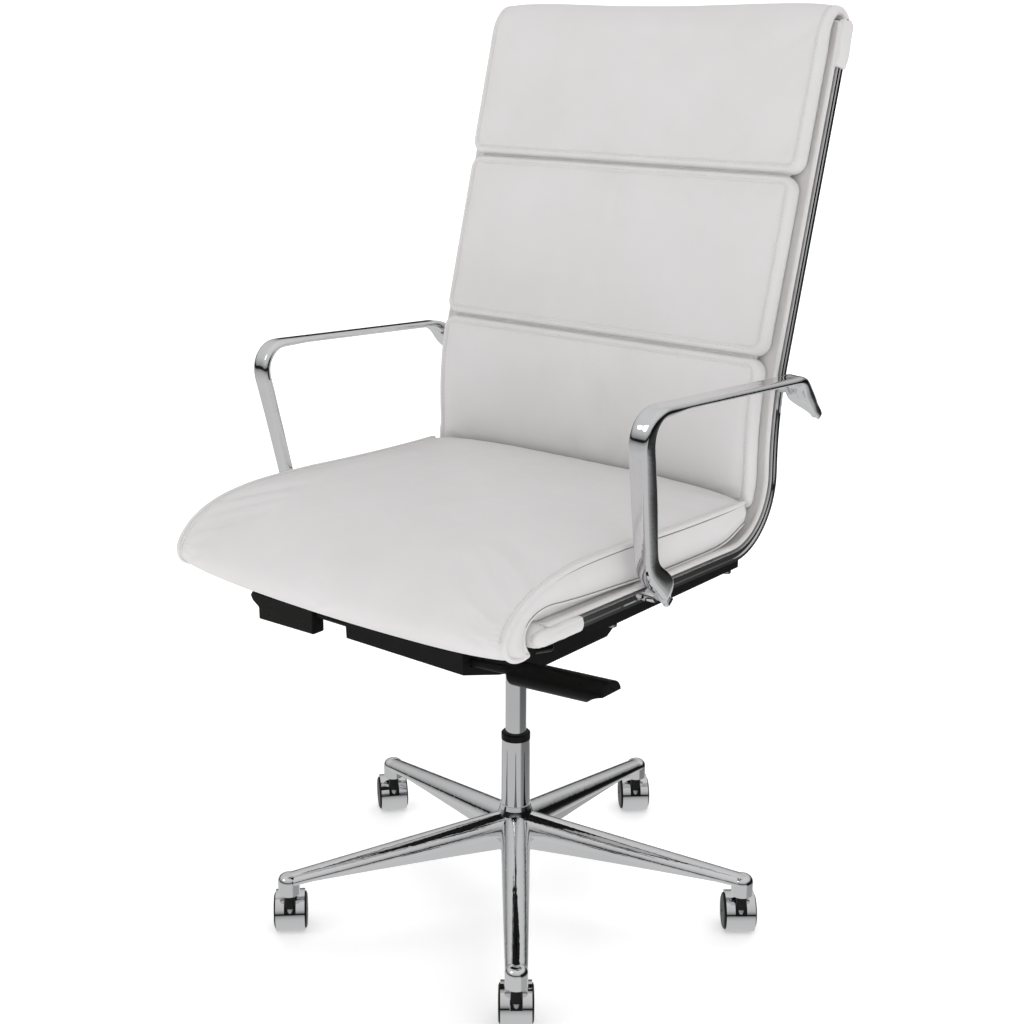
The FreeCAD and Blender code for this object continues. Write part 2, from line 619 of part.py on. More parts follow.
def arm_shape():
    """The loop of the left arm in its own upright plane, x = 0 at the arm's middle."""
    corners = [Vector(0, *spot) for spot in (
        (-80, 511), (-131, 560), (-171, 758), (184, 739), (236, 684))]
    path = rounded_path(corners, [48, 38, 40])
    # share of the loop's length, then reach inwards and outwards, inner depth and outer depth
    stations = [
        (0.0, (2, 8, 11, 13)), (0.05, (8.9, 15, 17, 26)), (0.14, (11.5, 12.5, 10, 21)),
        (0.24, (12.5, 12.5, 10, 23)), (0.34, (13.5, 13.5, 10, 21)), (0.43, (14.5, 14.5, 9, 11)),
        (0.5, (14.5, 14.5, 7, 7)), (0.84, (14.5, 14.5, 7, 7)), (0.925, (21.3, 12, 20, 18)),
        (1.0, (3, 8, 11, 12))]
    count = 49
    spots = path.discretize(Number=count)
    wires = []
    for index, spot in enumerate(spots):
        way = spots[min(index + 1, count - 1)] - spots[max(index - 1, 0)]
        wires.append(arm_section(spot, way, *eased(index / (count - 1), stations)))
    loop = Part.makeLoft(wires, True, False)
    for end, inner in ((0, 1), (-1, -2)):
        way = (spots[end] - spots[inner]).normalize()
        mouth = wires[end].BoundBox.Center
        loop = loop.cut(cylinder(size("recess_radius"), 2 * size("recess_depth"),
                                 mouth - way * size("recess_depth"), way))
    return loop


def arm(label, side):
    pivot = Vector(0, 0, 650)
    loop = arm_shape()
    loop.rotate(pivot, Vector(0, 1, 0), size("arm_lean"))
    loop.translate(Vector(size("arm_offset"), 0, 0))
    foot_start = size("rail_offset") + size("rail_width") / 2
    low, high = arm_holes()
    for spot in (low, high):
        foot = Part.makeCone(8, 6.5, 12, spot + Vector(foot_start, 0, 0), Vector(1, 0, 0))
        loop = loop.fuse(foot)
    loop = loop.removeSplitter()
    for spot in (low, high):
        seat = spot + Vector(foot_start - 2, 0, 0)
        loop = loop.cut(cylinder(size("screw_radius"), 12, seat, Vector(1, 0, 0)))
    if side < 0:
        loop = loop.mirror(Vector(0, 0, 0), Vector(1, 0, 0))
    feature(label, loop)


def screws():
    inside = size("rail_offset") - size("rail_width") / 2
    group = []
    for side in (1, -1):
        for spot in arm_holes():
            one = screw(size("rail_width") + 10)
            one.rotate(Vector(0, 0, 0), Vector(0, 1, 0), 90 * side)
            one.translate(spot + Vector(side * inside, 0, 0))
            group.append(one)
    feature("arm_screws", Part.makeCompound(group))
    group = []
    for spot in frame_holes():
        one = screw(22)
        one.translate(spot + Vector(0, 0, size("strip_floor")))
        group.append(one)
    feature("frame_screws", Part.makeCompound(group))


# ---------------------------------------------------------------- castors
def castor(number, degrees, facing):
    """One twin-wheel castor; facing is the direction in which its wheels trail the stem."""
    label = "castor_%d_" % number
    turn = math.radians(degrees)
    stem_spot = Vector(size("leg_circle") * math.cos(turn), size("leg_circle") * math.sin(turn), 0)
    trail = turned_about_z(facing, stem_spot)
    axle_spot = trail.multiply(Placement(Vector(size("castor_trail"), 0, size("wheel_radius")), Rotation()))

    hood = new_body(label + "hood")
    revolve(hood, [
        ("hood_bore", "-hood_width / 2"), ("hood_radius", "-hood_width / 2"),
        ("hood_radius", "hood_width / 2"), ("hood_bore", "hood_width / 2")], role="XY_Plane")
    wedge = outline(hood, "XZ_Plane", [
        ("0", "0"), ("30", "36"), ("60", "36"), ("60", "-60"), ("-37", "-60"), ("-23", "-26")])
    pocket(hood, wedge, "100")
    notch = outline(hood, "XY_Plane", [
        ("-castor_trail - boss_radius - 0.4", "-notch_width / 2"),
        ("-castor_trail + boss_radius + 0.4", "-notch_width / 2"),
        ("-castor_trail + boss_radius + 0.4", "notch_width / 2"),
        ("-castor_trail - boss_radius - 0.4", "notch_width / 2")])
    pocket(hood, notch, "60", both_ways=False, reverse=True)
    hood.Placement = axle_spot

    core = cylinder(size("hood_bore"), size("core_thick"), Vector(0, -size("core_thick") / 2, 0),
                    Vector(0, 1, 0))
    core = core.cut(Part.makeBox(80, 40, 40, Vector(-40, -20, -40 - 9)))
    core = core.cut(Part.makeBox(40, 40, 80, Vector(12, -20, -40)))
    trailing = -size("castor_trail")
    level = -size("wheel_radius")
    core = core.fuse(cylinder(size("boss_radius"), size("boss_top") - 40, Vector(trailing, 0, level + 40)))
    core = core.cut(cylinder(size("stem_radius"), 60, Vector(trailing, 0, level + size("stem_floor"))))
    core = core.cut(cylinder(size("pin_size"), 60, Vector(0, -30, 0), Vector(0, 1, 0)))
    feature(label + "core", core, axle_spot)

    stem = cylinder(size("stem_radius"), size("stem_top") - size("stem_floor"),
                    Vector(trailing, 0, level + size("stem_floor")))
    pin = cylinder(size("pin_size"), 2 * size("wheel_outer") - 3, Vector(0, 1.5 - size("wheel_outer"), 0),
                   Vector(0, 1, 0))
    feature(label + "pins", Part.makeCompound([stem, pin]), axle_spot)

    for side, name in ((1, "left"), (-1, "right")):
        wheel = new_body(label + "wheel_" + name)
        revolve(wheel, [
            ("wheel_bore", "wheel_inner"), ("wheel_radius - 1.5", "wheel_inner"),
            ("wheel_radius", "wheel_inner + 1.5"), ("wheel_radius", "wheel_outer - 4"),
            ("wheel_radius - 1.6", "wheel_outer - 1.4"), ("wheel_radius - 4", "wheel_outer - 0.4"),
            ("8", "wheel_outer"), ("pin_hole", "wheel_outer")], role="XY_Plane")
        spin = Rotation(Vector(1, 0, 0), 180 if side > 0 else 0)
        wheel.Placement = axle_spot.multiply(Placement(Vector(0, 0, 0), spin))


# ---------------------------------------------------------------- assembly
star_base()
gas_lift()
mechanism()
levers()
tilt_plate()
seat_frame()
side_rail("side_rail_left", 1)
side_rail("side_rail_right", -1)
cross_bar("front_bar", wrap_centre("front"), "bar_radius")
cross_bar("top_bar", wrap_centre("top"), "bar_radius")
cross_bar("back_stretcher", back_spot(size("stretcher_height")), "stretcher_radius")
upholstery()
arm("arm_left", 1)
arm("arm_right", -1)
screws()
TRAILS = (129.3, 130.1, 132.9, 139.7, 133.5)
for number, facing in enumerate(TRAILS, 1):
    castor(number, size("leg_turn") + 72 * (number - 1), facing)

doc.recompute()
for item in doc.Objects:
    assert not {"Invalid", "Error"} & set(item.State), item.Name + ": " + str(item.State)
os.makedirs("parts", exist_ok=True)
for item in NODES:
    assert not item.Shape.isNull() and item.Shape.isValid(), item.Label + ": bad shape"
    item.Shape.exportStep("parts/%s.step" % item.Label)
print(len(NODES), "sub-parts written")
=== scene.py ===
import json
import math

import bmesh
import bpy
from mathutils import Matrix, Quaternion, Vector, noise


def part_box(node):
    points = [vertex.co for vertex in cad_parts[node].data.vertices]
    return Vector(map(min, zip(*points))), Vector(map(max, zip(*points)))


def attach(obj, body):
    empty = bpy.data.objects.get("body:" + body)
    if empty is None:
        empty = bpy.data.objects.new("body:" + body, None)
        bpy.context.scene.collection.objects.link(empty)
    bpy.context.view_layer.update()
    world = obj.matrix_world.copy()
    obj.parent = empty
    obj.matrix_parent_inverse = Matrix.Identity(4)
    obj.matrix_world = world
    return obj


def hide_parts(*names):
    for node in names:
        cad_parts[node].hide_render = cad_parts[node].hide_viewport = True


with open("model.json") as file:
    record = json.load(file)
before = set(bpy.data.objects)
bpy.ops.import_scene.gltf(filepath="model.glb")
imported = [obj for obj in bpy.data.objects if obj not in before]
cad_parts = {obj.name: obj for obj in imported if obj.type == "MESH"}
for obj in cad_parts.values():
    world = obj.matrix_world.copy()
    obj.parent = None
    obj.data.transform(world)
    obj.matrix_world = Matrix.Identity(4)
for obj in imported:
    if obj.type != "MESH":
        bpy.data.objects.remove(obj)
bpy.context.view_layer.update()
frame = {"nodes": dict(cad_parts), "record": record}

# The looks of a swivel office chair. Metres; the sitter faces -Y, and +X is the sitter's left.

# ---------------------------------------------------------------- driving sizes
# Side view of the rails as (y, z): front end, bend under the lower back, waist, top end.
RAIL_CORNERS = [(-0.285, 0.530), (0.178, 0.523), (0.172, 0.690), (0.300, 1.152)]
RAIL_RADII = [0.085, 0.420]             # of the bend and of the waist
RAIL_X = (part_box("side_rail_left")[0].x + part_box("side_rail_left")[1].x) / 2
SLING_LOW = 0.0064      # the sling's underside above the rail's centre line
SLING_TOP = 0.0120
SLING_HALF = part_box("sling")[1].x
PAD_REST = SLING_TOP + 0.0003               # a back pad's underside
PAD_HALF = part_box("lumbar_pad")[1].x
SEAT_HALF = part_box("seat_pad")[1].x
PAD_THICK = 0.0245
THINNEST_PAD = 0.0080
LUMBAR_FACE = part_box("seat_pad")[1].y + 0.002   # just behind the seat pad
# Heights on the rails: the two ends of each back pad, the gaps between the pads, and the top bar.
LUMBAR_SPAN = (0.5565, 0.7492)
MIDDLE_SPAN = (0.7506, 0.9640)
HEADREST_SPAN = (0.9656, 1.112)         # up to where the pad starts to turn over the top bar
PAD_GAPS = (0.7499, 0.9648)
TOP_BAR_HEIGHT = 1.139

PIPING = 0.0030         # radius of the seat's piping
CORD_TAPER = 0.45       # what is left of a cord's radius at its very ends
WELT = PIPING * 0.6     # radius of the cord along its lower seam
STITCH_PITCH = 0.0052
STITCH_LENGTH = 0.0034
STITCH_RADIUS = 0.00042
STITCH_SIDES = 6
STITCH_SHAPE = ((-0.5, 0.35), (-0.3, 0.95), (0.3, 0.95), (0.5, 0.35))   # shares of length and radius
CLOTH_FRAMES = 20


# ---------------------------------------------------------------- lines in the side view
def between(a, b, share):
    return a + (b - a) * share


def hill(value, middle, width):
    """A smooth hill of height 1 over the middle, down to about a third at a width from it."""
    return math.exp(-((value - middle) / width) ** 2)


def smooth_through(points, steps):
    """A smooth curve through points, each span cut into the same number of steps."""
    points = [Vector(point) for point in points]
    ends = [points[0] * 2 - points[1]] + points + [points[-1] * 2 - points[-2]]
    curve = []
    for index in range(1, len(ends) - 2):
        before, a, b, after = ends[index - 1:index + 3]
        for step in range(steps):
            t = step / steps
            curve.append(0.5 * ((2 * a) + (b - before) * t + (2 * before - 5 * a + 4 * b - after) * t * t
                                + (3 * a - before - 3 * b + after) * t * t * t))
    curve.append(points[-1])
    return curve


def rounded(corners, radii, step=0.002):
    """Straight runs joined by tangent arcs, as closely spaced points."""
    corners = [Vector(corner) for corner in corners]
    line = [corners[0]]
    for corner, before, after, radius in zip(corners[1:], corners, corners[2:], radii):
        back, ahead = (before - corner).normalized(), (after - corner).normalized()
        half = back.angle(ahead) / 2
        reach = radius / math.tan(half)
        centre = corner + (back + ahead).normalized() * (radius / math.sin(half))
        start, end = corner + back * reach - centre, corner + ahead * reach - centre
        sweep = start.angle_signed(end)
        count = max(6, int(abs(sweep) * radius / step))
        for index in range(count + 1):
            turn = -sweep * index / count
            line.append(centre + Vector((start.x * math.cos(turn) - start.y * math.sin(turn),
                                         start.x * math.sin(turn) + start.y * math.cos(turn))))
    line.append(corners[-1])
    return line


class SideLine:
    """A line in the side view with a place and a direction at any length along it."""

    def __init__(self, points, step=0.003):
        lengths = [0.0]
        for a, b in zip(points, points[1:]):
            lengths.append(lengths[-1] + (b - a).length)
        self.total = lengths[-1]
        count = max(2, round(self.total / step))
        self.step = self.total / count
        self.points = []
        index = 0
        for number in range(count + 1):
            length = min(number * self.step, self.total)
            while index < len(points) - 2 and lengths[index + 1] < length:
                index += 1
            span = lengths[index + 1] - lengths[index]
            self.points.append(between(points[index], points[index + 1], (length - lengths[index]) / span))
        self.ways = []
        for number in range(count + 1):
            before = self.points[max(number - 1, 0)]
            after = self.points[min(number + 1, count)]
            self.ways.append((after - before).normalized())

    def at(self, length, height=0.0):
        """The place at a length, moved square to the line towards the sitter."""
        place = min(max(length / self.step, 0), len(self.points) - 1.000001)
        index = int(place)
        spot = between(self.points[index], self.points[index + 1], place - index)
        way = between(self.ways[index], self.ways[index + 1], place - index).normalized()
        beyond = length - min(max(length, 0), self.total)
        return spot + way * beyond + Vector((-way.y, way.x)) * height

    def length_at_height(self, z):
        """How far along the line it reaches a height, on the way up the back."""
        for number in range(len(self.points) - 1, 0, -1):
            low, high = self.points[number - 1], self.points[number]
            if low.y <= z <= high.y:
                return (number - 1 + (z - low.y) / (high.y - low.y)) * self.step
        return self.total


def in_room(x, side_spot):
    return Vector((x, side_spot.x, side_spot.y))


RAIL = SideLine(rounded(RAIL_CORNERS, RAIL_RADII))


# ---------------------------------------------------------------- meshes
def new_object(name, vertices, faces, material):
    """A smooth piece with its faces turned outwards."""
    mesh = bpy.data.meshes.new(name)
    mesh.from_pydata([tuple(v) for v in vertices], [], faces)
    mesh.validate()
    item = bpy.data.objects.new(name, mesh)
    bpy.context.scene.collection.objects.link(item)
    tidy = bmesh.new()
    tidy.from_mesh(mesh)
    bmesh.ops.recalc_face_normals(tidy, faces=tidy.faces)
    tidy.to_mesh(mesh)
    tidy.free()
    mesh.materials.append(material)
    mesh.polygons.foreach_set("use_smooth", [True] * len(mesh.polygons))
    return item


def subdivided(item):
    """Applies one subdivision, so that the finer mesh is what later steps measure."""
    modifier = item.modifiers.new("Subdivision", "SUBSURF")
    modifier.levels = modifier.render_levels = 1
    with bpy.context.temp_override(object=item, active_object=item, selected_objects=[item]):
        bpy.ops.object.modifier_apply(modifier=modifier.name)
    return item


def inflate(item, held, cap, pressure=3.0, growth=0.004):
    """Blows a closed cover up as cloth that is sewn down at its held vertices, none moving past a cap."""
    group = item.vertex_groups.new(name="sewn")
    group.add(held, 1.0, "REPLACE")
    cloth = item.modifiers.new("Cloth", "CLOTH")
    settings = cloth.settings
    settings.quality = 5
    settings.mass = 0.25
    settings.tension_stiffness = settings.compression_stiffness = 12
    settings.shear_stiffness = 6
    settings.bending_stiffness = 1.5
    settings.tension_damping = settings.compression_damping = 8
    settings.vertex_group_mass = group.name
    settings.use_pressure = True
    settings.uniform_pressure_force = pressure
    settings.shrink_min = -growth
    settings.effector_weights.gravity = 0
    cloth.collision_settings.use_collision = False
    scene = bpy.context.scene
    cloth.point_cache.frame_start = 1
    cloth.point_cache.frame_end = CLOTH_FRAMES
    for number in range(1, CLOTH_FRAMES + 1):
        scene.frame_set(number)
    shown = item.evaluated_get(bpy.context.evaluated_depsgraph_get())
    rest = item.data.vertices
    for before, after in zip(rest, shown.data.vertices):
        move = after.co - before.co
        if move.length > cap:
            move = move * (cap / move.length)
        before.co = before.co + move
    item.modifiers.remove(cloth)
    item.vertex_groups.remove(group)
    scene.frame_set(1)


def graded(length, marks, step):
    """Places along a length: the marks in from both ends, and even steps between."""
    inner = length - 2 * marks[-1]
    count = max(2, round(inner / step))
    middle = [marks[-1] + inner * index / count for index in range(1, count)]
    return marks + middle + [length - mark for mark in reversed(marks)]


def ring_faces(columns, rows, first=0):
    """Quads of a tube of closed rings, each ring numbered on from the last."""
    faces = []
    for row in range(rows - 1):
        for column in range(columns):
            a = first + row * columns + column
            b = first + row * columns + (column + 1) % columns
            faces.append((a, b, b + columns, a + columns))
    return faces


def capped_faces(columns, rows, first=0):
    """The faces of such a tube, with one more over each end."""
    last = first + (rows - 1) * columns
    return ring_faces(columns, rows, first) + [tuple(first + k for k in reversed(range(columns))),
                                               tuple(last + k for k in range(columns))]


def turns(sides):
    """Evenly spaced angles once round."""
    return [2 * math.pi * k / sides for k in range(sides)]


def tube(name, line, radius, material, sides=8):
    """A round cord along a line, its ends drawn in: leather, or a thin line of painted shade along a seam.
    """
    count = len(line)
    rings = []
    normal = None
    for index, spot in enumerate(line):
        way = (line[min(index + 1, count - 1)] - line[max(index - 1, 0)]).normalized()
        if normal is None:
            normal = way.orthogonal().normalized()
        normal = (normal - way * normal.dot(way)).normalized()
        side = way.cross(normal)
        size = radius * CORD_TAPER if index in (0, count - 1) else radius
        rings.append([spot + (normal * math.cos(turn) + side * math.sin(turn)) * size
                      for turn in turns(sides)])
    return new_object(name, [spot for ring in rings for spot in ring], capped_faces(sides, count), material)


def resampled(line, pitch):
    """Points along a 3-D line at an even pitch, each with the direction there."""
    marks = []
    travelled, target = 0.0, pitch / 2
    for a, b in zip(line, line[1:]):
        length = (b - a).length
        while length > 0 and target <= travelled + length:
            marks.append((between(a, b, (target - travelled) / length), (b - a).normalized()))
            target += pitch
        travelled += length
    return marks


def stitches(name, lines, surface):
    """Rows of short thread stitches, laid on a surface."""
    vertices, faces = [], []
    for line in lines:
        for near, way in resampled(line, STITCH_PITCH):
            _, spot, up, _ = surface.closest_point_on_mesh(near)
            way = (way - up * way.dot(up)).normalized()
            side = way.cross(up)
            faces += capped_faces(STITCH_SIDES, len(STITCH_SHAPE), len(vertices))
            for along, size in STITCH_SHAPE:
                for turn in turns(STITCH_SIDES):
                    vertices.append(spot + way * (along * STITCH_LENGTH)
                                    + (side * math.cos(turn) + up * math.sin(turn)) * (STITCH_RADIUS * size))
    return new_object(name, vertices, faces, THREAD)


# ---------------------------------------------------------------- materials
MIX_A, MIX_B, MIX_RESULT = 6, 7, 2      # the colour sockets of a mix node
EDGE_PALENESS = 2.5                     # how much paler a black part is where its edges are worn


def fill_ramp(node, stops):
    """Sets the stops of a colour ramp, each a place and a colour."""
    elements = node.color_ramp.elements
    while len(elements) < len(stops):
        elements.new(0.5)
    for element, (place, colour) in zip(elements, stops):
        element.position = place
        element.color = (*colour, 1.0)


class Finish:
    """A material whose nodes are added one at a time, on the piece's own coordinates."""

    def __init__(self, name, **constants):
        self.material = bpy.data.materials.new(name)
        self.material.use_nodes = True
        self.nodes = self.material.node_tree.nodes
        self.links = self.material.node_tree.links
        self.shader = self.nodes["Principled BSDF"]
        for key, value in constants.items():
            self.shader.inputs[key.replace("_", " ")].default_value = value
        self.place = self.nodes.new("ShaderNodeTexCoord").outputs["Object"]
        self.bump = None

    def join(self, source, target):
        self.links.new(source, target)

    def noise(self, scale, detail=3.0, roughness=0.5, stretch=None):
        node = self.nodes.new("ShaderNodeTexNoise")
        node.inputs["Scale"].default_value = scale
        node.inputs["Detail"].default_value = detail
        node.inputs["Roughness"].default_value = roughness
        self.join(self.stretched(stretch), node.inputs["Vector"])
        return node.outputs["Fac"]

    def stretched(self, stretch):
        if stretch is None:
            return self.place
        node = self.nodes.new("ShaderNodeMapping")
        node.inputs["Scale"].default_value = stretch
        self.join(self.place, node.inputs["Vector"])
        return node.outputs["Vector"]

    def cells(self, scale):
        node = self.nodes.new("ShaderNodeTexVoronoi")
        node.feature = "DISTANCE_TO_EDGE"
        node.inputs["Scale"].default_value = scale
        self.join(self.place, node.inputs["Vector"])
        return node.outputs["Distance"]

    def ramp(self, source, stops):
        node = self.nodes.new("ShaderNodeValToRGB")
        fill_ramp(node, stops)
        self.join(source, node.inputs["Fac"])
        return node.outputs["Color"]

    def spread(self, source, low, high, start=0.0, end=1.0):
        node = self.nodes.new("ShaderNodeMapRange")
        node.inputs["From Min"].default_value = start
        node.inputs["From Max"].default_value = end
        node.inputs["To Min"].default_value = low
        node.inputs["To Max"].default_value = high
        self.join(source, node.inputs["Value"])
        return node.outputs["Result"]

    def colour(self, source):
        self.join(source, self.shader.inputs["Base Color"])

    def roughness(self, source):
        self.join(source, self.shader.inputs["Roughness"])

    def relief(self, source, depth, strength):
        """Adds a layer of bump, on top of the layers added before."""
        node = self.nodes.new("ShaderNodeBump")
        node.inputs["Distance"].default_value = depth
        node.inputs["Strength"].default_value = strength
        self.join(source, node.inputs["Height"])
        if self.bump is not None:
            self.join(self.bump, node.inputs["Normal"])
        self.bump = node.outputs["Normal"]
        self.join(self.bump, self.shader.inputs["Normal"])


def leather(name, light, dark, grain=1.0):
    """Soft finished leather: pebble grain, a cloudy tone and gentle creasing."""
    finish = Finish(name, Specular_IOR_Level=0.42, Coat_Weight=0.06, Coat_Roughness=0.35,
                    Sheen_Weight=0.08, Sheen_Roughness=0.5)
    cloud = finish.noise(9.0, detail=4.0)
    finish.colour(finish.ramp(cloud, [(0.30, dark), (0.70, light)]))
    finish.roughness(finish.spread(finish.noise(55.0), 0.40, 0.54, 0.3, 0.7))
    finish.relief(finish.noise(38.0, detail=2.0), 0.0006 * grain, 0.35)
    finish.relief(finish.cells(620.0), 0.00022 * grain, 0.55)
    finish.relief(finish.noise(1500.0, detail=2.0), 0.00008 * grain, 0.5)
    return finish.material


def thread(name, light, dark):
    """Soft spun thread, rough and slightly uneven in tone."""
    finish = Finish(name, Specular_IOR_Level=0.3, Sheen_Weight=0.2)
    finish.colour(finish.ramp(finish.noise(400.0), [(0.35, dark), (0.65, light)]))
    finish.roughness(finish.spread(finish.noise(300.0), 0.55, 0.75))
    finish.relief(finish.noise(2500.0, detail=1.0), 0.0001, 0.6)
    return finish.material


def polished(name, light, dark, rough=(0.035, 0.09), wave=0.00012):
    """Mirror-polished metal: faint hand-polishing waves, a breath of haze and hairline scratches."""
    finish = Finish(name, Metallic=1.0)
    finish.colour(finish.ramp(finish.noise(5.0, detail=3.0), [(0.35, dark), (0.65, light)]))
    haze = finish.noise(24.0, detail=5.0, roughness=0.6)
    finish.roughness(finish.spread(haze, rough[0], rough[1], 0.35, 0.7))
    finish.relief(finish.noise(16.0, detail=1.0), wave, 0.5)
    finish.relief(finish.noise(220.0, detail=4.0, stretch=(1.0, 1.0, 9.0)), 0.00001, 0.25)
    return finish.material


def turned(name, light, dark):
    """Plain steel with fine turning marks."""
    finish = Finish(name, Metallic=1.0, Anisotropic=0.3)
    marks = finish.noise(900.0, detail=3.0, stretch=(1.0, 1.0, 0.05))
    finish.colour(finish.ramp(finish.noise(30.0), [(0.3, dark), (0.7, light)]))
    finish.roughness(finish.spread(marks, 0.2, 0.36))
    finish.relief(marks, 0.00003, 0.4)
    return finish.material


def coated(name, light, dark, grain=2200.0, rough=(0.36, 0.5)):
    """Satin black, with the fine orange peel of powder coat or moulded texture, paler on its edges."""
    finish = Finish(name, Specular_IOR_Level=0.09)
    edges = finish.nodes.new("ShaderNodeNewGeometry").outputs["Pointiness"]
    worn = finish.ramp(edges, [(0.5, (0.0, 0.0, 0.0)), (0.62, (1.0, 1.0, 1.0))])
    mix = finish.nodes.new("ShaderNodeMix")
    mix.data_type = "RGBA"
    finish.join(worn, mix.inputs["Factor"])
    finish.join(finish.ramp(finish.noise(40.0, detail=5.0), [(0.3, dark), (0.7, light)]),
                mix.inputs[MIX_A])
    mix.inputs[MIX_B].default_value = (*[EDGE_PALENESS * value for value in light], 1.0)
    finish.colour(mix.outputs[MIX_RESULT])
    finish.roughness(finish.spread(finish.noise(90.0, detail=4.0), rough[0], rough[1], 0.3, 0.7))
    finish.relief(finish.noise(grain, detail=2.0), 0.00006, 0.5)
    return finish.material


# Each finish has its lighter and its darker tone, as linear colours.
LEATHER = leather("white_leather", (0.690, 0.676, 0.676), (0.662, 0.644, 0.641))
LINING = leather("white_lining", (0.672, 0.656, 0.650), (0.632, 0.613, 0.606), grain=1.4)
THREAD = thread("white_thread", (0.66, 0.635, 0.625), (0.54, 0.515, 0.505))
# Dark brown painted shade, made as thread: thin lines along the seat's seams where shade falls under the
# piping and over the lower seam.
PAINTED_SHADE = thread("painted_seam_shade", (0.25, 0.215, 0.20), (0.19, 0.16, 0.15))
POLISHED = polished("polished_aluminium", (0.80, 0.803, 0.812), (0.74, 0.743, 0.755))
CHROME = polished("chrome_plate", (0.76, 0.763, 0.773), (0.70, 0.703, 0.715),
                  rough=(0.03, 0.07), wave=0.00008)
STEEL = turned("bright_steel", (0.50, 0.50, 0.51), (0.40, 0.40, 0.42))
COATED = coated("black_steel", (0.0036, 0.0036, 0.0036), (0.0024, 0.0024, 0.0024))
PLASTIC = coated("black_plastic", (0.0042, 0.0042, 0.0040), (0.0030, 0.0030, 0.0028),
                 grain=3200.0, rough=(0.26, 0.38))

CAD_MATERIALS = {"polished_aluminium": POLISHED, "chrome_plate": CHROME, "bright_steel": STEEL,
                 "black_steel": COATED, "black_plastic": PLASTIC,
                 "white_leather": LEATHER, "padding": LEATHER}


def dress_cad():
    """Gives each CAD node the finish of its own material slot."""
    for entry in frame["record"]["subparts"]:
        item = frame["nodes"][entry["node"]]
        for place in item.material_slots:
            place.material = CAD_MATERIALS[entry["material_slot"]]


# ---------------------------------------------------------------- back pads
EDGE = 0.0055           # rounding of a pad's edge
RIM = 0.0108            # from a pad's edge to the seam that borders it
RIM_DROP = 0.0015       # how far the rim lies below the pad's thickness
RIM_STITCHES = 0.0080   # from a pad's edge to the row of stitches beside that seam
SWELL_REACH = 0.026     # how fast the filling lifts a panel, from its seams inwards
PAD_CORNER = 0.019      # radius of a pad's corners, seen from the front
EDGE_LEVEL = 0.45       # where a pad's edge lies, as a share of its thickness
PAD_GROOVE = 0.0017     # depth of the seam beside the rim
PAD_CELL_ACROSS, PAD_CELL_ALONG = 0.0075, 0.0065
GUSSET_RADIUS = 0.0042
GUSSET_RISE = PAD_REST + 0.0105         # of its middle, above the rail's centre line
# Side view of the headrest's underside, over the top bar and down behind it.
HEADREST_TURN = [(0.2805, 1.1380), (0.2875, 1.1525), (0.2990, 1.1580), (0.3125, 1.1530),
                 (0.3205, 1.1390), (0.3205, 1.1200), (0.3160, 1.1030), (0.3120, 1.0910)]
HEADREST_THIN = 0.0120  # its thickness where it is folded over
THINNING_SHARE = 0.24   # the share of its length over which it thins
RIM_MARKS = ([EDGE * (1 - math.cos(math.radians(turn))) for turn in (0, 18, 36, 54, 72, 90)]
             + [0.0072, 0.0086, 0.0096, 0.0103, 0.0109, 0.0116, 0.0126, 0.0142, 0.0168, 0.0210, 0.0270])


def edge_rise(inset):
    """How much of an edge's rounding is done at a distance in from the edge, from 0 to 1."""
    return math.sqrt(max(0.0, 1 - (1 - min(inset / EDGE, 1)) ** 2))


def rim_height(inset, thick):
    """Height of a pad's front face above its back, from its edge inwards, before it swells."""
    middle = thick * EDGE_LEVEL
    height = middle + (thick - RIM_DROP - middle) * edge_rise(inset)
    return height - PAD_GROOVE * hill(inset, RIM, 0.0011)


def back_height(inset, thick):
    """Height of a pad's back face, which curves up to meet the front face at the edge."""
    return thick * EDGE_LEVEL * (1 - edge_rise(inset))


def swell(across, along):
    """How far the filling lifts a panel, as a share of its crown."""
    lift = [1 - math.exp(-max(distance - RIM, 0) / SWELL_REACH) for distance in (across, along)]
    return lift[0] * lift[1]


